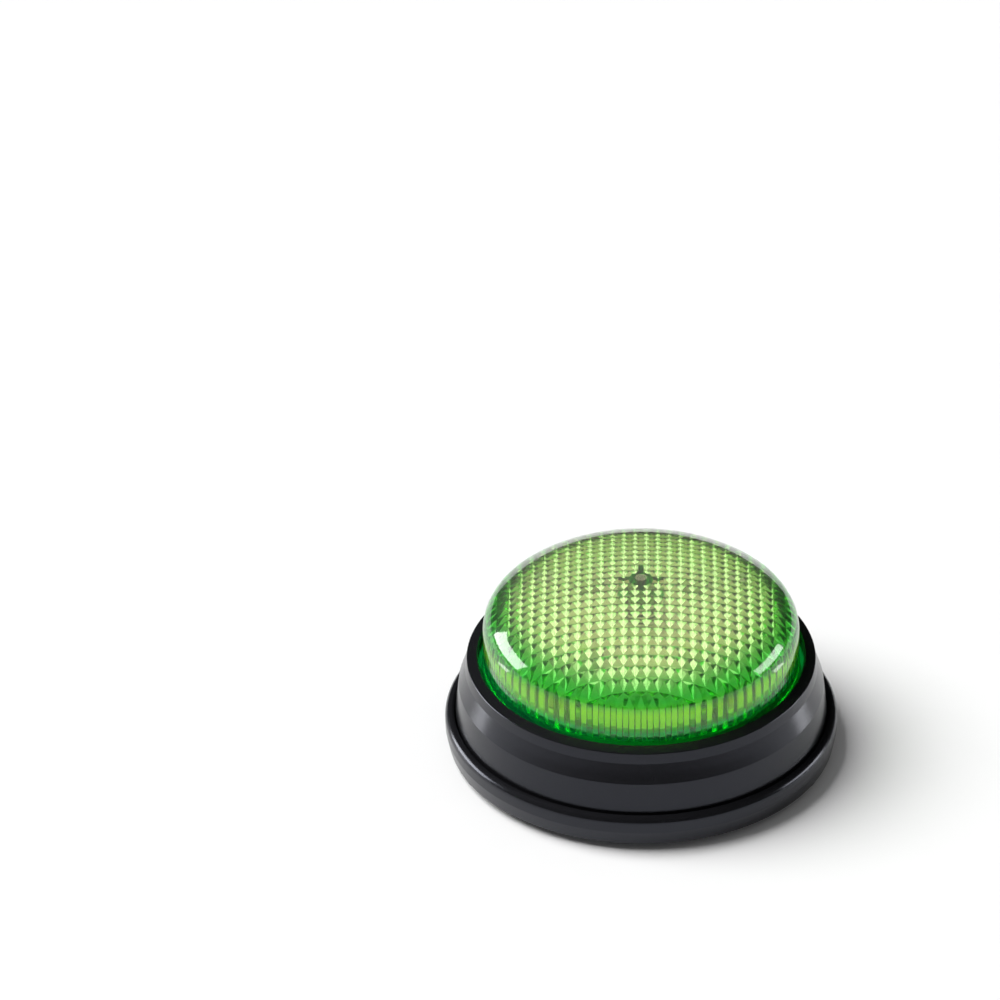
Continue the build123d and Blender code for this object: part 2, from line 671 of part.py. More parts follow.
def cell(y, way):
    """An AAA cell lying along X, its positive nub towards that way."""
    can = Cylinder(CELL_RADIUS, CELL_LENGTH)
    can = fillet(can.edges().filter_by(GeomType.CIRCLE), CELL_ROUND)
    top = CELL_LENGTH / 2
    can += disc(NUB_RADIUS, top, top + NUB_HEIGHT)
    middle = way * (CELL_SHIFT - NUB_HEIGHT / 2)
    return Pos(middle, y, CELL_Z) * Rot(0, way * 90, 0) * can


def contact_plate(y, side):
    """The flat sheet at one end of a cell."""
    faces = sorted((side * CONTACT_X, side * (CONTACT_X - CONTACT_SHEET)))
    return block(faces, around(y, 2 * CONTACT_HALF_WIDTH), (CONTACT_BOTTOM, CONTACT_TOP))


def contact_coil(y, side):
    """The coil spring that presses on a cell's flat end."""
    face = CONTACT_X - CONTACT_SHEET
    length = face - (CELL_LENGTH / 2 + NUB_HEIGHT / 2 - CELL_SHIFT) - COIL_END_GAP - 2 * COIL_WIRE
    path = Helix(length / COIL_TURNS, length, COIL_RADIUS)
    coil = sweep(Plane(path @ 0, z_dir=path % 0) * Circle(COIL_WIRE), path)
    return Pos(side * (face - COIL_WIRE / 2), y, CELL_Z) * Rot(0, -side * 90, 0) * coil


def contact_dimple(y, side):
    """The raised nub that touches a cell's positive end."""
    nub = Cone(DIMPLE_RADIUS, DIMPLE_TIP, DIMPLE_HEIGHT, align=(Align.CENTER, Align.CENTER, Align.MIN))
    return Pos(side * (CONTACT_X - CONTACT_SHEET), y, CELL_Z) * Rot(0, -side * 90, 0) * nub


def contact_tab(y):
    """The solder tab that passes out through the bay's end wall."""
    heights = (TAB_BOTTOM, TAB_BOTTOM + TAB_HEIGHT)
    return block((TAB_REACH, -CONTACT_X), around(y, TAB_WIDTH), heights)


def contact_negative():
    y = CONTACT_Y["front"]
    return contact_plate(y, -1) + contact_coil(y, -1) + contact_tab(y)


def contact_positive():
    y = CONTACT_Y["rear"]
    return contact_plate(y, -1) + contact_dimple(y, -1) + contact_tab(y)


def contact_bridge():
    """One sheet across the far end joins the two cells in series."""
    front, rear = CONTACT_Y["front"], CONTACT_Y["rear"]
    strap = contact_plate((front + rear) / 2, 1)
    sheet = contact_plate(front, 1) + contact_plate(rear, 1) + strap
    return sheet + contact_dimple(front, 1) + contact_coil(rear, 1)


def battery_door():
    bottom = TRAY_BOTTOM + DOOR_SINK
    top = bottom + DOOR_THICKNESS
    door = block((DOOR_LEFT, DOOR_RIGHT), around(BAY_Y, DOOR_WIDTH), (bottom, top))
    ear = block((DOOR_RIGHT - DOOR_GAP, EAR_RIGHT), around(BAY_Y, EAR_WIDTH), (bottom, top))
    door += fillet(ear.edges().filter_by(Axis.Z).sort_by(Axis.X)[-2:], EAR_ROUND)
    for y in TONGUE_Y:
        door += block((TONGUE_LEFT, DOOR_LEFT), around(y, TONGUE_WIDTH), (TONGUE_BOTTOM, top))
    place = (DOOR_SCREW_X, BAY_Y)
    door -= disc(DOOR_SCREW_HEAD + THREAD_PLAY, bottom, bottom + DOOR_SCREW_HEAD_HEIGHT, place)
    door -= disc(DOOR_SCREW_SHANK + THREAD_PLAY, bottom, top, place)
    for index in range(DOOR_GRIP_COUNT):
        x = DOOR_GRIP_X - index * DOOR_GRIP_PITCH
        grip = (around(x, DOOR_GRIP_WIDTH), around(BAY_Y, DOOR_GRIP_LENGTH))
        door -= block(*grip, (bottom, bottom + DOOR_GRIP_DEPTH))
    return door


# --- Fasteners and feet -------------------------------------------------------------------------


def screw(head_radius, head_height, shank_radius, length):
    """A cross-head screw pointing up, the underside of its head at z = 0."""
    body = disc(head_radius, -head_height, 0) + disc(shank_radius, 0, length - shank_radius)
    tip = Cone(shank_radius, shank_radius / 2, shank_radius, align=(Align.CENTER, Align.CENTER, Align.MIN))
    body += Pos(0, 0, length - shank_radius) * tip
    reach = 2 * head_radius * DRIVE_SHARE
    slot = block(around(0, reach), around(0, RECESS_WIDTH), (-head_height, -head_height + RECESS_DEPTH))
    return body - slot - Rot(0, 0, 90) * slot


def housing_screws():
    one = screw(HOUSING_SCREW_HEAD, HEAD_HEIGHT, HOUSING_SCREW_SHANK, HOUSING_SCREW_LENGTH)
    return group(Pos(x, y, TRAY_BOTTOM + HEAD_SINK) * one for x, y in HOUSING_SCREWS)


def board_screws():
    one = screw(BOARD_SCREW_HEAD, HEAD_HEIGHT, BOARD_SCREW_SHANK, BOARD_SCREW_LENGTH)
    return group(Pos(x, y, REFLECTOR_TOP) * Rot(180, 0, 0) * one for x, y in BOARD_SCREW_PLACES)


def door_screw():
    seat = TRAY_BOTTOM + DOOR_SINK + DOOR_SCREW_HEAD_HEIGHT
    one = screw(DOOR_SCREW_HEAD, DOOR_SCREW_HEAD_HEIGHT, DOOR_SCREW_SHANK, DOOR_SCREW_TOP - seat)
    return Pos(DOOR_SCREW_X, BAY_Y, seat) * one


def foot(angle):
    pad = disc(FOOT_RADIUS, 0, TRAY_BOTTOM + FOOT_RECESS, polar(FOOT_CIRCLE, angle))
    return fillet(pad.edges().filter_by(GeomType.CIRCLE).sort_by(Axis.Z)[:1], FOOT_ROUND)


# --- Wires --------------------------------------------------------------------------------------


def wire(points):
    """A wire through those points, each bend as wide as its two runs allow."""
    corners = [Vector(*point) for point in points]
    radii = []
    for before, corner, after in zip(corners, corners[1:], corners[2:]):
        run = min((corner - before).length, (after - corner).length)
        half_turn = radians((corner - before).get_angle(after - corner) / 2)
        radii.append(BEND_SHARE * run / tan(half_turn))
    path = FilletPolyline(*corners, radius=radii)
    return sweep(Plane(path @ 0, z_dir=path % 0) * Circle(WIRE_RADIUS), path)


def speaker_wires():
    right = wire(SPEAKER_ROUTE)
    left = wire([(-x, y, z) for x, y, z in SPEAKER_ROUTE])
    return group([right, left])


def pieces():
    """Every piece of the buzzer under its own name."""
    named = {
        "base_tray": base_tray(),
        "upper_housing": upper_housing(),
        "dome_lens": dome_lens(),
        "return_spring": return_spring(),
        "reflector_plate": reflector_plate(),
        "circuit_board": circuit_board(),
        "switch_body": switch_body(),
        "switch_plunger": switch_plunger(),
        "sound_chip": sound_chip(),
        "capacitor": capacitor(),
        "speaker_gasket": speaker_gasket(),
        "speaker_basket": speaker_basket(),
        "speaker_magnet": speaker_magnet(),
        "speaker_cone": speaker_cone(),
        "cell_front": cell(CONTACT_Y["front"], 1),
        "cell_rear": cell(CONTACT_Y["rear"], -1),
        "contact_negative": contact_negative(),
        "contact_positive": contact_positive(),
        "contact_bridge": contact_bridge(),
        "battery_door": battery_door(),
        "door_screw": door_screw(),
        "housing_screws": housing_screws(),
        "board_screws": board_screws(),
        "battery_wire_red": wire(RED_ROUTE),
        "battery_wire_black": wire(BLACK_ROUTE),
        "speaker_wires": speaker_wires(),
    }
    named.update({f"foot_{name}": foot(angle) for name, angle in FOOT_ANGLES.items()})
    named.update({f"lamp_{name}": lamp(place) for name, place in LAMP_PLACES.items()})
    named.update({name: resistor(y) for name, y in RESISTOR_PLACES.items()})
    return named


os.makedirs("parts", exist_ok=True)
for node, shape in pieces().items():
    export_step(shape, f"parts/{node}.step")
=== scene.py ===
import json
from math import cos, hypot, pi, radians, sin, sqrt

import bmesh
import bpy
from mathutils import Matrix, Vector


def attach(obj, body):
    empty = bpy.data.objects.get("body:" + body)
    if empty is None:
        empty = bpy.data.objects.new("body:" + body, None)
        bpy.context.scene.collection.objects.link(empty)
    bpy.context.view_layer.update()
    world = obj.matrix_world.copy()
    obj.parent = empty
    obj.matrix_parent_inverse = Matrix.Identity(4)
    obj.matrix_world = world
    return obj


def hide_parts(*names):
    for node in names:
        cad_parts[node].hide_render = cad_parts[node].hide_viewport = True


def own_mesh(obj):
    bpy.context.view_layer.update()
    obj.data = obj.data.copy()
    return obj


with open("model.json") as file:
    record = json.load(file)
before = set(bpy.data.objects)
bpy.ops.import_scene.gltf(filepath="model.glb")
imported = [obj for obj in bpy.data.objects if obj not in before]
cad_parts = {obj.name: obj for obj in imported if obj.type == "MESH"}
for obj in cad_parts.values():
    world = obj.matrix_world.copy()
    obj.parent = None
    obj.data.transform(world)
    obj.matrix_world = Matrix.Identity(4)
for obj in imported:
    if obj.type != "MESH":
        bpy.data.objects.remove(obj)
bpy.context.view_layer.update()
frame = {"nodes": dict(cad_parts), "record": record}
nodes = frame["nodes"]

# The object's own lengths are in millimetres, turned into metres where a mesh is made. The camera's
# distance, the lamps, the cards and the floor are in metres.
MM = 0.001

# --- Camera and room ----------------------------------------------------------------------------

CAMERA_ELEVATION = radians(34.65)
CAMERA_DISTANCE = 1.0
CAMERA_LENS = 157.9
SENSOR = 36.0
AIM_HEIGHT = 2.0
CLIP_NEAR, CLIP_FAR = 0.01, 20.0
# How far the buzzer stands right of and below the picture's middle, as shares of its width.
FRAME_RIGHT = 0.141
FRAME_DOWN = 0.2298

FLOOR_HALF = 0.6


def aim_at(thing, target):
    """Turns a lamp or camera so that it looks at a point."""
    direction = Vector(target) - thing.location
    thing.rotation_euler = direction.to_track_quat("-Z", "Y").to_euler()


def add_camera():
    """The camera stands in front of the buzzer, which sits right of and below the picture's middle."""
    target = Vector((0, 0, AIM_HEIGHT * MM))
    away = Vector((0, -cos(CAMERA_ELEVATION), sin(CAMERA_ELEVATION)))
    data = bpy.data.cameras.new("camera")
    data.lens = CAMERA_LENS
    data.sensor_width = SENSOR
    data.clip_start = CLIP_NEAR
    data.clip_end = CLIP_FAR
    camera = bpy.data.objects.new("camera", data)
    bpy.context.scene.collection.objects.link(camera)
    camera.location = target + away * CAMERA_DISTANCE
    straight = (-away).to_track_quat("-Z", "Y")
    place = Vector((FRAME_RIGHT, -FRAME_DOWN, -CAMERA_LENS / SENSOR)).normalized()
    camera.rotation_mode = "QUATERNION"
    camera.rotation_quaternion = straight @ place.rotation_difference(Vector((0, 0, -1)))
    bpy.context.scene.camera = camera


def add_light(name, kind, place, watts, target):
    """A lamp aimed at a point. It isn't seen through the clear plastic."""
    data = bpy.data.lights.new(name, kind)
    data.energy = watts
    lamp = bpy.data.objects.new(name, data)
    bpy.context.scene.collection.objects.link(lamp)
    lamp.location = place
    aim_at(lamp, target)
    lamp.visible_transmission = False
    return lamp


def around_buzzer(azimuth, elevation, distance):
    """A point at a distance from the buzzer, azimuth counted from its right towards its back."""
    turn, rise = radians(azimuth), radians(elevation)
    return Vector((cos(turn) * cos(rise), sin(turn) * cos(rise), sin(rise))) * distance


WORLD_LIGHT = 2.4
# Each sun's azimuth and elevation in degrees, its strength, and its spread in degrees.
SUNS = {
    "fill": (0.0, 90.0, 0.65, 170.0),
    "key": (172.0, 54.0, 3.9, 45.0),
    "under": (180.0, -60.0, 2.0, 60.0),
}
SUN_DISTANCE = 1.0
SUN_TARGET = (0, 0, 0)
# Each strip's azimuth and elevation in degrees, its width and height in metres, and its watts.
STRIPS = {
    "right": (10.0, 14.0, (0.30, 0.17), 1.1),
    "left": (162.0, 17.2, (0.36, 0.24), 2.8),
}
STRIP_DISTANCE = 0.575
STRIP_TARGET = (0, 0, 0.02)
CARD_PLACE = (0.12, 0.011, 0.0005)
CARD_SIZE = (0.05, 0.018)
CARD_HALF = 0.5
CARD_LIGHT = 5.0


def add_lights():
    """Suns from above, from the left and behind, and from below, and a strip at either side."""
    for name, (azimuth, elevation, strength, width) in SUNS.items():
        place = around_buzzer(azimuth, elevation, SUN_DISTANCE)
        lamp = add_light(name, "SUN", place, strength, SUN_TARGET)
        lamp.data.angle = radians(width)
        lamp.visible_glossy = False
    for name, (azimuth, elevation, size, watts) in STRIPS.items():
        place = around_buzzer(azimuth, elevation, STRIP_DISTANCE)
        lamp = add_light(name, "AREA", place, watts, STRIP_TARGET)
        lamp.data.shape = "RECTANGLE"
        lamp.data.size, lamp.data.size_y = size
        lamp.visible_diffuse = False


def add_cards():
    """Bright patches lying on the paper at either side, seen in reflections only."""
    material, _, shader = new_material("card_glow")
    shader.inputs["Base Color"].default_value = (0, 0, 0, 1)
    shader.inputs["Emission Color"].default_value = (1, 1, 1, 1)
    shader.inputs["Emission Strength"].default_value = CARD_LIGHT
    for side in (-1, 1):
        bm = bmesh.new()
        bmesh.ops.create_grid(bm, x_segments=1, y_segments=1, size=CARD_HALF)
        card = link_mesh("card", bm)
        card.data.materials.append(material)
        card.location = (side * CARD_PLACE[0], CARD_PLACE[1], CARD_PLACE[2])
        card.scale = (*CARD_SIZE, 1)
        card.visible_camera = False
        card.visible_diffuse = False
        card.visible_transmission = False
        card.visible_shadow = False


def add_room():
    """White paper in a white room whose walls and ceiling show through the clear plastic only."""
    scene = bpy.context.scene
    scene.view_settings.view_transform = "Standard"
    scene.view_settings.look = "None"
    scene.cycles.max_bounces = 16
    scene.cycles.transmission_bounces = 14
    scene.cycles.glossy_bounces = 6
    scene.cycles.diffuse_bounces = 5
    scene.cycles.transparent_max_bounces = 16
    scene.cycles.use_denoising = True
    scene.cycles.sample_clamp_indirect = 6.0
    world = bpy.data.worlds.new("studio")
    world.use_nodes = True
    background = world.node_tree.nodes["Background"]
    background.inputs["Color"].default_value = (1.0, 1.0, 1.0, 1)
    background.inputs["Strength"].default_value = WORLD_LIGHT
    scene.world = world
    world.cycles_visibility.glossy = False
    world.cycles_visibility.diffuse = False
    bm = bmesh.new()
    bmesh.ops.create_grid(bm, x_segments=2, y_segments=2, size=FLOOR_HALF)
    floor = link_mesh("floor", bm)
    floor.data.materials.append(floor_paper())
    floor.visible_shadow = False


# --- Materials ----------------------------------------------------------------------------------


# A surface's broad drift of colour in cycles per metre, and the detail and roughness of its grain.
BROAD_SCALE = 60.0
FINE_DETAIL, FINE_ROUGHNESS = 4.0, 0.6
FLOOR_SHADES = (0.86, 0.86, 0.86), (0.88, 0.88, 0.88)
FLOOR_ROUGH = (0.7, 0.8)


def new_material(name):
    material = bpy.data.materials.new(name)
    material.use_nodes = True
    return material, material.node_tree, material.node_tree.nodes["Principled BSDF"]


def noise(tree, scale, detail=3.0, roughness=0.5):
    """Solid noise in the object's own space, in cycles per metre."""
    where = tree.nodes.new("ShaderNodeTexCoord")
    texture = tree.nodes.new("ShaderNodeTexNoise")
    texture.inputs["Scale"].default_value = scale
    texture.inputs["Detail"].default_value = detail
    texture.inputs["Roughness"].default_value = roughness
    tree.links.new(where.outputs["Object"], texture.inputs["Vector"])
    return texture.outputs["Fac"]


def spread(tree, source, low, high, start=0.3, stop=0.7):
    """Maps a texture's value onto a range."""
    node = tree.nodes.new("ShaderNodeMapRange")
    node.inputs["From Min"].default_value = start
    node.inputs["From Max"].default_value = stop
    node.inputs["To Min"].default_value = low
    node.inputs["To Max"].default_value = high
    tree.links.new(source, node.inputs["Value"])
    return node.outputs["Result"]


def blend_colours(tree, source, first, second):
    node = tree.nodes.new("ShaderNodeMix")
    node.data_type = "RGBA"
    node.inputs["A"].default_value = (*first, 1)
    node.inputs["B"].default_value = (*second, 1)
    tree.links.new(source, node.inputs["Factor"])
    return node.outputs["Result"]


def bump(tree, shader, source, depth):
    """Relief of a given depth in metres."""
    node = tree.nodes.new("ShaderNodeBump")
    node.inputs["Strength"].default_value = 1.0
    node.inputs["Distance"].default_value = depth
    tree.links.new(source, node.inputs["Height"])
    tree.links.new(node.outputs["Normal"], shader.inputs["Normal"])


def moulded(name, first, second, rough, grain=1800.0, relief=0.00001, metallic=0.0, shine=0.5):
    """A surface whose colour drifts between two shades and whose roughness and relief vary finely."""
    material, tree, shader = new_material(name)
    broad = noise(tree, BROAD_SCALE)
    fine = noise(tree, grain, FINE_DETAIL, FINE_ROUGHNESS)
    tree.links.new(blend_colours(tree, broad, first, second), shader.inputs["Base Color"])
    tree.links.new(spread(tree, fine, rough[0], rough[1]), shader.inputs["Roughness"])
    shader.inputs["Metallic"].default_value = metallic
    shader.inputs["Specular IOR Level"].default_value = shine
    bump(tree, shader, fine, relief)
    return material


def floor_paper():
    """White paper that can't be seen from below, so that the buzzer's underside can."""
    material = moulded("floor_paper", *FLOOR_SHADES, FLOOR_ROUGH)
    tree = material.node_tree
    side = tree.nodes.new("ShaderNodeNewGeometry")
    clear = tree.nodes.new("ShaderNodeBsdfTransparent")
    mix = tree.nodes.new("ShaderNodeMixShader")
    tree.links.new(side.outputs["Backfacing"], mix.inputs[0])
    tree.links.new(tree.nodes["Principled BSDF"].outputs["BSDF"], mix.inputs[1])
    tree.links.new(clear.outputs["BSDF"], mix.inputs[2])
    tree.links.new(mix.outputs["Shader"], tree.nodes["Material Output"].inputs["Surface"])
    return material


def painted_light_by_height(tree, stops):
    """Painted light and shade by height above the table, from (height in millimetres, colour) stops in
    rising order.
    """
    where = tree.nodes.new("ShaderNodeTexCoord")
    split = tree.nodes.new("ShaderNodeSeparateXYZ")
    ramp = tree.nodes.new("ShaderNodeValToRGB")
    low, high = stops[0][0], stops[-1][0]
    tree.links.new(where.outputs["Object"], split.inputs["Vector"])
    share = spread(tree, split.outputs["Z"], 0.0, 1.0, low * MM, high * MM)
    elements = ramp.color_ramp.elements
    while len(elements) < len(stops):
        elements.new(position=0.5)
    for element, (height, _) in zip(elements, stops):
        element.position = (height - low) / (high - low)
    for element, (_, colour) in zip(elements, stops):
        element.color = (*colour, 1)
    tree.links.new(share, ramp.inputs["Fac"])
    return ramp.outputs["Color"]


def clear_plastic(name):
    """Tinted clear plastic, with light and shade painted into its colour by height: light from lamps passes
    straight in, tinted, and depth deepens its colour.
    """
    material, tree, shader = new_material(name)
    fine = noise(tree, LENS_GRAIN, LENS_GRAIN_DETAIL)
    # The base colour is painted light and shade by height, not the plastic's own tint.
    tree.links.new(painted_light_by_height(tree, LENS_PAINTED_LIGHT_STOPS), shader.inputs["Base Color"])
    tree.links.new(spread(tree, fine, *LENS_ROUGH), shader.inputs["Roughness"])
    shader.inputs["Transmission Weight"].default_value = LENS_CLARITY
    shader.inputs["Coat Weight"].default_value = LENS_SHEEN
    shader.inputs["Coat Roughness"].default_value = LENS_SHEEN_ROUGHNESS
    shader.inputs["IOR"].default_value = LENS_IOR
    through = tree.nodes.new("ShaderNodeBsdfTransparent")
    through.inputs["Color"].default_value = (*LENS_SHADE, 1)
    path = tree.nodes.new("ShaderNodeLightPath")
    mix = tree.nodes.new("ShaderNodeMixShader")
    tree.links.new(path.outputs["Is Shadow Ray"], mix.inputs[0])
    tree.links.new(shader.outputs["BSDF"], mix.inputs[1])
    tree.links.new(through.outputs["BSDF"], mix.inputs[2])
    out = tree.nodes["Material Output"]
    tree.links.new(mix.outputs["Shader"], out.inputs["Surface"])
    volume = tree.nodes.new("ShaderNodeVolumeAbsorption")
    volume.inputs["Color"].default_value = (*LENS_ABSORB, 1)
    volume.inputs["Density"].default_value = LENS_DENSITY
    tree.links.new(volume.outputs["Volume"], out.inputs["Volume"])
    return material


# --- Meshes -------------------------------------------------------------------------------------


def arc(centre, radius, start, stop, steps):
    """Points on an arc in the (radius, height) plane, its angle counted from straight up."""
    points = []
    for index in range(steps + 1):
        angle = radians(start + (stop - start) * index / steps)
        points.append((centre[0] + radius * sin(angle), centre[1] + radius * cos(angle)))
    return points


def face_outward(bm):
    """Turns every face of a closed mesh to look outward."""
    bmesh.ops.recalc_face_normals(bm, faces=bm.faces)
    if bm.calc_volume(signed=True) < 0:
        bmesh.ops.reverse_faces(bm, faces=bm.faces)


def link_mesh(name, bm):
    """An object in the scene made of a mesh."""
    mesh = bpy.data.meshes.new(name)
    bm.to_mesh(mesh)
    bm.free()
    thing = bpy.data.objects.new(name, mesh)
    bpy.context.scene.collection.objects.link(thing)
    return thing


def solid(bm, name="scratch"):
    """An object made of a closed mesh, its faces turned outward."""
    face_outward(bm)
    return link_mesh(name, bm)


def finish_object(thing, sharp, body, material, stands_for):
    """Smooths all but edges sharper than an angle, and says what the object is made of and rides on."""
    mesh = thing.data
    mesh.polygons.foreach_set("use_smooth", [True] * len(mesh.polygons))
    mesh.set_sharp_from_angle(angle=radians(sharp))
    mesh.materials.clear()
    mesh.materials.append(material)
    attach(thing, body)
    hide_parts(*stands_for)


ON_AXIS = 1e-6


def revolve(outline, segments):
    """Turns a closed (radius, height) outline about Z. Points on the axis become single vertices."""
    bm = bmesh.new()
    rings = []
    for radius, height in outline:
        if radius < ON_AXIS:
            rings.append([bm.verts.new((0, 0, height * MM))] * segments)
        else:
            ring = []
            for index in range(segments):
                angle = 2 * pi * index / segments
                ring.append(bm.verts.new((radius * cos(angle) * MM, radius * sin(angle) * MM, height * MM)))
            rings.append(ring)
    for inner, outer in zip(rings, rings[1:] + rings[:1]):
        for index in range(segments):
            following = (index + 1) % segments
            corners = [inner[index], outer[index], outer[following], inner[following]]
            unique = list(dict.fromkeys(corners))
            if len(unique) > 2:
                bm.faces.new(unique)
    return bm


def prism(outline, bottom, top):
    """An upright prism over a closed outline of (x, y) points."""
    bm = bmesh.new()
    low = [bm.verts.new((x * MM, y * MM, bottom * MM)) for x, y in outline]
    high = [bm.verts.new((x * MM, y * MM, top * MM)) for x, y in outline]
    bm.faces.new(low[::-1])
    bm.faces.new(high)
    for index in range(len(outline)):
        following = (index + 1) % len(outline)
        bm.faces.new((low[index], low[following], high[following], high[index]))
    return bm


def cylinder(radius, bottom, top, segments):
    """An upright round bar about Z."""
    return revolve([(0, bottom), (radius, bottom), (radius, top), (0, top)], segments)


def combine(thing, operation, *others):
    """Applies booleans to thing and removes the other objects."""
    for other in others:
        modifier = thing.modifiers.new("cut", "BOOLEAN")
        modifier.operation = operation
        modifier.solver = "MANIFOLD"
        modifier.object = other
        depsgraph = bpy.context.evaluated_depsgraph_get()
        mesh = bpy.data.meshes.new_from_object(thing.evaluated_get(depsgraph))
        thing.modifiers.clear()
        thing.data = mesh
        bpy.data.objects.remove(other)
    return thing


# --- Dome ---------------------------------------------------------------------------------------

DOME_TOP = 43.75
CROWN_RADIUS, CROWN_ANGLE = 83.0, 16.0
HAUNCH_RADIUS, HAUNCH_ANGLE = 28.2, 38.3
CORNER_RADIUS = 7.65
DOME_WALL = 2.4
DOME_BOTTOM = 20.0
FLANGE_RADIUS = 37.3
FLANGE_TOP = 21.5
FLANGE_ROUND = 0.25
DOME_SEGMENTS = 320
DOME_SHARP = 20.0
CROWN_STEPS, HAUNCH_STEPS, CORNER_STEPS, ROUND_STEPS = 20, 12, 16, 4
PYRAMID_PITCH = 2.5
PYRAMID_HEIGHT = 1.25
PYRAMID_ROWS = 15
PYRAMID_SLOPE_RADIUS = 32.0
PYRAMID_BLOCK_DROP = 2.0
FLUTE_COUNT = 80
FLUTE_CREST = 33.25
FLUTE_ROOT = 33.6
FLUTE_GROOVE = 0.2
FLUTE_EDGE = 0.1
SKIRT_RADIUS = 33.05
SKIRT_DROP = 1.0
SKIRT_OVERLAP = 0.2
SKIRT_SEGMENTS = 160
FLUTE_BOTTOM = 22.4
POST_RADIUS = 2.7
POST_BORE = 1.35
POST_END = 25.9
POST_END_WALL = 1.5
POST_SEGMENTS, BORE_SEGMENTS = 48, 40
GUSSET_REACH = 5.0
GUSSET_THICKNESS = 1.2
GUSSET_BOTTOM = 32.05


def dome_centres():
    """The centres of the three arcs that make the dome's outline."""
    crown = (0.0, DOME_TOP - CROWN_RADIUS)
    step = CROWN_RADIUS - HAUNCH_RADIUS
    haunch = (crown[0] + step * sin(radians(CROWN_ANGLE)), crown[1] + step * cos(radians(CROWN_ANGLE)))
    step = HAUNCH_RADIUS - CORNER_RADIUS
    corner = (haunch[0] + step * sin(radians(HAUNCH_ANGLE)), haunch[1] + step * cos(radians(HAUNCH_ANGLE)))
    return crown, haunch, corner


def dome_outline():
    """The dome's outside, from the top down to its flange, closed across its open end."""
    crown, haunch, corner = dome_centres()
    points = [(0, DOME_TOP)]
    points += arc(crown, CROWN_RADIUS, 0, CROWN_ANGLE, CROWN_STEPS)[1:]
    points += arc(haunch, HAUNCH_RADIUS, CROWN_ANGLE, HAUNCH_ANGLE, HAUNCH_STEPS)[1:]
    points += arc(corner, CORNER_RADIUS, HAUNCH_ANGLE, 90, CORNER_STEPS)[1:]
    wall = points[-1][0]
    inner = (wall + FLANGE_ROUND, FLANGE_TOP + FLANGE_ROUND)
    outer = (FLANGE_RADIUS - FLANGE_ROUND, FLANGE_TOP - FLANGE_ROUND)
    points += arc(inner, FLANGE_ROUND, 270, 180, ROUND_STEPS)
    points += arc(outer, FLANGE_ROUND, 0, 90, ROUND_STEPS)
    points += [(FLANGE_RADIUS, DOME_BOTTOM), (0, DOME_BOTTOM)]
    return points


def inner_height(radius):
    """The height of the surface that the pyramids stand on, one wall's thickness inside the dome."""
    crown, haunch, corner = dome_centres()
    inner = min(radius, PYRAMID_SLOPE_RADIUS)
    arcs = (
        (crown, CROWN_RADIUS - DOME_WALL, CROWN_ANGLE),
        (haunch, HAUNCH_RADIUS - DOME_WALL, HAUNCH_ANGLE),
        (corner, CORNER_RADIUS - DOME_WALL, 90.0),
    )
    for centre, size, limit in arcs:
        if inner <= centre[0] + size * sin(radians(limit)):
            run = inner - centre[0]
            rise = sqrt(size * size - run * run)
            return centre[1] + rise - (radius - inner) * run / rise
    return centre[1]


def pyramid_block():
    """A block whose top is a square grid of four-sided points that follow the dome's curve."""
    bm = bmesh.new()
    size = 2 * PYRAMID_ROWS + 1
    offset = size * PYRAMID_PITCH / 2
    corners = []
    for row in range(size + 1):
        line = []
        for column in range(size + 1):
            x, y = column * PYRAMID_PITCH - offset, row * PYRAMID_PITCH - offset
            line.append(bm.verts.new((x * MM, y * MM, inner_height(hypot(x, y)) * MM)))
        corners.append(line)
    for row in range(size):
        for column in range(size):
            x = (column + 0.5) * PYRAMID_PITCH - offset
            y = (row + 0.5) * PYRAMID_PITCH - offset
            tip = bm.verts.new((x * MM, y * MM, (inner_height(hypot(x, y)) + PYRAMID_HEIGHT) * MM))
            square = [
                corners[row][column],
                corners[row][column + 1],
                corners[row + 1][column + 1],
                corners[row + 1][column],
            ]
            for index in range(4):
                bm.faces.new((square[index], square[(index + 1) % 4], tip))
    rim = [corners[0][i] for i in range(size)] + [corners[i][size] for i in range(size)]
    rim += [corners[size][size - i] for i in range(size)] + [corners[size - i][0] for i in range(size)]
    foot = [bm.verts.new((v.co.x, v.co.y, (DOME_BOTTOM - PYRAMID_BLOCK_DROP) * MM)) for v in rim]
    for index in range(len(rim)):
        following = (index + 1) % len(rim)
        bm.faces.new((rim[following], rim[index], foot[index], foot[following]))
    bm.faces.new(foot)
    return bm


def flute_star():
    """The cavity's outline: flat-faced flutes with a narrow groove along every crest and root."""
    points = []
    step = pi / FLUTE_COUNT
    for index in range(2 * FLUTE_COUNT):
        first, last = (FLUTE_CREST, FLUTE_ROOT) if index % 2 else (FLUTE_ROOT, FLUTE_CREST)
        for share, radius in ((0.0, first + FLUTE_GROOVE), (FLUTE_EDGE, first), (1 - FLUTE_EDGE, last)):
            angle = (index + share) * step
            points.append((radius * cos(angle), radius * sin(angle)))
    return points


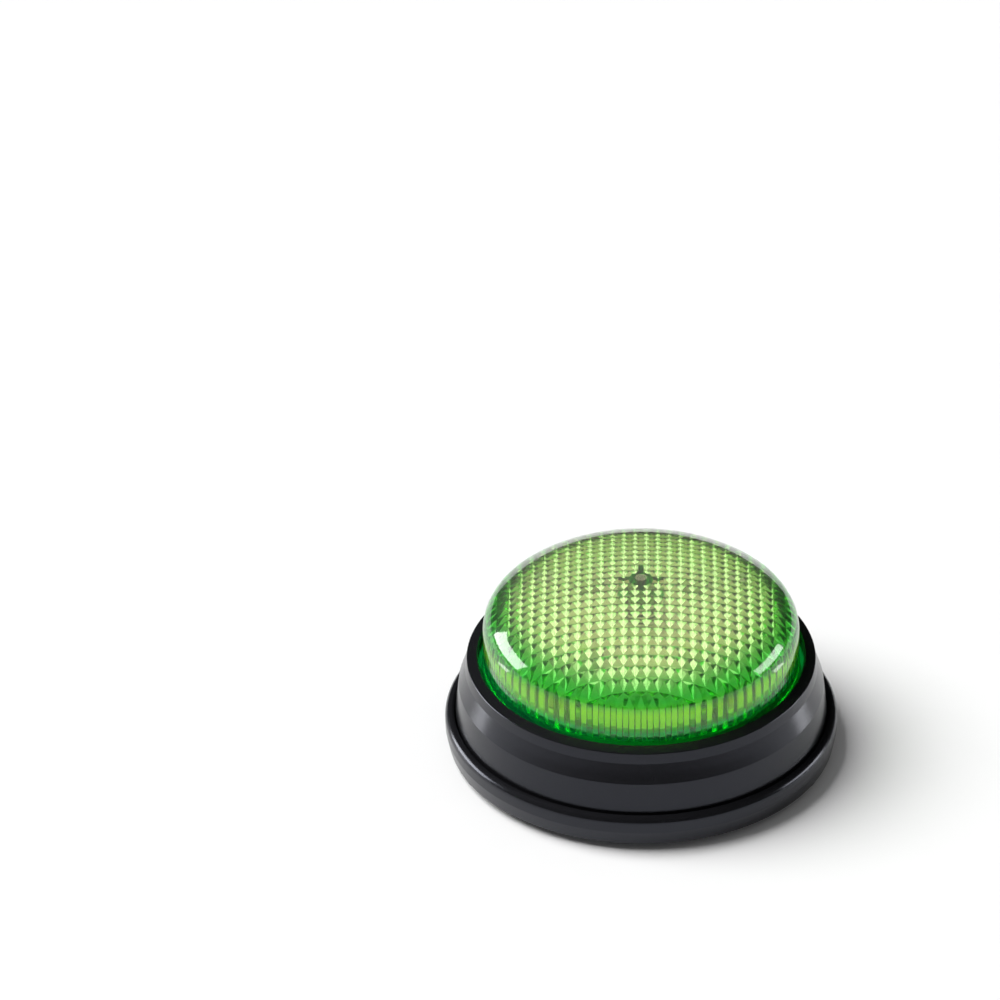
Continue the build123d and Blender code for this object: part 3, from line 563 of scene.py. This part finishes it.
def build_dome(material):
    """The clear button: pyramids and flutes inside, a skirt, crossed gussets and a hollow post."""
    dome = solid(revolve(dome_outline(), DOME_SEGMENTS), "dome")
    cavity = solid(pyramid_block())
    combine(cavity, "INTERSECT", solid(prism(flute_star(), FLUTE_BOTTOM, DOME_TOP)))
    combine(dome, "DIFFERENCE", cavity)
    skirt = cylinder(SKIRT_RADIUS, DOME_BOTTOM - SKIRT_DROP, FLUTE_BOTTOM + SKIRT_OVERLAP, SKIRT_SEGMENTS)
    combine(dome, "DIFFERENCE", solid(skirt))
    top = DOME_TOP - DOME_WALL / 2
    half = GUSSET_THICKNESS / 2
    for x, y in ((GUSSET_REACH, half), (half, GUSSET_REACH)):
        gusset = prism([(-x, -y), (x, -y), (x, y), (-x, y)], GUSSET_BOTTOM, top)
        combine(dome, "UNION", solid(gusset))
    combine(dome, "UNION", solid(cylinder(POST_RADIUS, POST_END, top, POST_SEGMENTS)))
    bore = cylinder(POST_BORE, POST_END + POST_END_WALL, top, BORE_SEGMENTS)
    combine(dome, "DIFFERENCE", solid(bore))
    finish_object(dome, DOME_SHARP, "button", material, ("dome_lens",))
    return dome


# --- Spring -------------------------------------------------------------------------------------

SPRING_BOTTOM, SPRING_TOP = 23.0, 32.05
SPRING_RADIUS = 4.6
SPRING_WIRE = 0.3
SPRING_COILS = 6
SPRING_STEPS = 48
SPRING_END_SHARE = 1 / 6
SPRING_SHARP = 40.0
WIRE_SIDES = 12


def spring_path(share):
    """The height of the wire's centre along the spring, its end coils lying nearly flat."""
    low, high = SPRING_BOTTOM + SPRING_WIRE, SPRING_TOP - SPRING_WIRE
    ease = min(max((share - SPRING_END_SHARE) / (1 - 2 * SPRING_END_SHARE), 0.0), 1.0)
    first = min(share / SPRING_END_SHARE, 1.0)
    last = max((share - 1) / SPRING_END_SHARE + 1, 0.0)
    ends = 2 * SPRING_WIRE * (first + last)
    return low + ends + (high - low - 4 * SPRING_WIRE) * ease


def build_spring(material):
    """A wire coil with closed ends."""
    bm = bmesh.new()
    steps = SPRING_COILS * SPRING_STEPS
    rings = []
    for index in range(steps + 1):
        angle = 2 * pi * index / SPRING_STEPS
        height = spring_path(index / steps)
        ring = []
        for side in range(WIRE_SIDES):
            turn = 2 * pi * side / WIRE_SIDES
            radius = SPRING_RADIUS + SPRING_WIRE * cos(turn)
            rise = height + SPRING_WIRE * sin(turn)
            ring.append(bm.verts.new((radius * cos(angle) * MM, radius * sin(angle) * MM, rise * MM)))
        rings.append(ring)
    for ring, following in zip(rings, rings[1:]):
        for side in range(WIRE_SIDES):
            other = (side + 1) % WIRE_SIDES
            bm.faces.new((ring[side], ring[other], following[other], following[side]))
    bm.faces.new(rings[0])
    bm.faces.new(rings[-1])
    spring = solid(bm, "coil_spring")
    finish_object(spring, SPRING_SHARP, "base", material, ("return_spring",))
    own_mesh(spring)
    return spring


# --- Finishes -----------------------------------------------------------------------------------

# The lens's tint by height above the table, which is painted light and shade rather than the plastic's own
# colour:
# darkest and deepest green at the base inside the housing ring, lighter and darker bands above, lightest at
# the crown.
# From 38.5 mm up it is pink, to offset the green of LENS_ABSORB.
# A viewer that leaves the absorption out shows that pink, so it is not the plastic's own colour.
LENS_PAINTED_LIGHT_STOPS = (
    (20.0, (0.015, 1.00, 0.35)),
    (25.4, (0.015, 0.85, 0.30)),
    (26.2, (0.52, 0.78, 0.06)),
    (30.0, (0.54, 0.78, 0.06)),
    (32.0, (0.07, 0.50, 0.14)),
    (35.0, (0.20, 0.52, 0.22)),
    (38.5, (1.00, 0.74, 0.78)),
    (44.0, (1.00, 0.72, 0.84)),
)
LENS_ABSORB = (0.60, 0.94, 0.42)
LENS_DENSITY = 380.0
LENS_SHADE = (0.33, 0.43, 0.14)
LENS_ROUGH = (0.02, 0.05)
LENS_CLARITY = 0.93
LENS_SHEEN, LENS_SHEEN_ROUGHNESS = 0.25, 0.18
LENS_IOR = 1.5
LENS_GRAIN, LENS_GRAIN_DETAIL = 900.0, 2.0

STEEL = dict(metallic=1.0, relief=0.000004)
# Each slot's two shades, its roughness from low to high, and what else its surface has.
FINISHES = {
    "black_abs": (
        (0.0085, 0.0086, 0.0098), (0.0100, 0.0101, 0.0116), (0.19, 0.25),
        dict(grain=2600.0, relief=0.000002, shine=0.41),
    ),
    "zinc_steel": ((0.55, 0.56, 0.58), (0.68, 0.68, 0.70), (0.28, 0.42), STEEL),
    "spring_steel": ((0.62, 0.62, 0.63), (0.74, 0.74, 0.75), (0.2, 0.32), STEEL),
    "foot_rubber": (
        (0.012, 0.012, 0.013), (0.02, 0.02, 0.021), (0.6, 0.8),
        dict(grain=3500.0, relief=0.00003),
    ),
    "white_plastic": ((0.8, 0.8, 0.78), (0.86, 0.86, 0.84), (0.35, 0.5), {}),
    "board_laminate": ((0.02, 0.15, 0.06), (0.03, 0.20, 0.08), (0.3, 0.45), {}),
    "switch_plastic": ((0.02, 0.02, 0.022), (0.035, 0.035, 0.037), (0.4, 0.55), {}),
    "chip_resin": (
        (0.006, 0.006, 0.006), (0.012, 0.012, 0.012), (0.12, 0.25),
        dict(grain=700.0, relief=0.00002),
    ),
    "capacitor_sleeve": ((0.01, 0.02, 0.09), (0.015, 0.03, 0.12), (0.3, 0.42), {}),
    "resistor_lacquer": ((0.42, 0.30, 0.16), (0.5, 0.37, 0.2), (0.3, 0.45), {}),
    "gasket_foam": (
        (0.03, 0.03, 0.03), (0.06, 0.06, 0.06), (0.85, 0.95),
        dict(grain=4000.0, relief=0.0001),
    ),
    "magnet_ferrite": (
        (0.03, 0.03, 0.032), (0.05, 0.05, 0.052), (0.5, 0.7),
        dict(grain=2500.0, relief=0.00003),
    ),
    "cone_film": ((0.20, 0.17, 0.12), (0.26, 0.22, 0.16), (0.25, 0.4), {}),
    "cell_jacket": ((0.06, 0.09, 0.16), (0.09, 0.12, 0.2), (0.25, 0.4), dict(metallic=0.6)),
    "contact_nickel": ((0.62, 0.58, 0.5), (0.74, 0.7, 0.62), (0.2, 0.34), STEEL),
    "lamp_epoxy": ((0.78, 0.8, 0.74), (0.85, 0.87, 0.8), (0.1, 0.2), {}),
    "wire_red": ((0.5, 0.018, 0.012), (0.6, 0.03, 0.02), (0.35, 0.5), {}),
    "wire_black": ((0.01, 0.01, 0.01), (0.02, 0.02, 0.02), (0.35, 0.5), {}),
}
BLACK_SHEEN = (0.80, 0.84, 1.0)


def finishes():
    """One material for each of the record's slots."""
    made = {}
    for name, (first, second, rough, more) in FINISHES.items():
        made[name] = moulded(name, first, second, rough, **more)
    made["green_lens"] = clear_plastic("green_lens")
    gloss = made["black_abs"].node_tree.nodes["Principled BSDF"]
    gloss.inputs["Specular Tint"].default_value = (*BLACK_SHEEN, 1)
    return made


looks = finishes()
add_camera()
add_room()
add_lights()
add_cards()
for part in frame["record"]["subparts"]:
    coats = nodes[part["node"]].data.materials
    coats.clear()
    coats.append(looks[part["material_slot"]])
build_dome(looks["green_lens"])
build_spring(looks["spring_steel"])
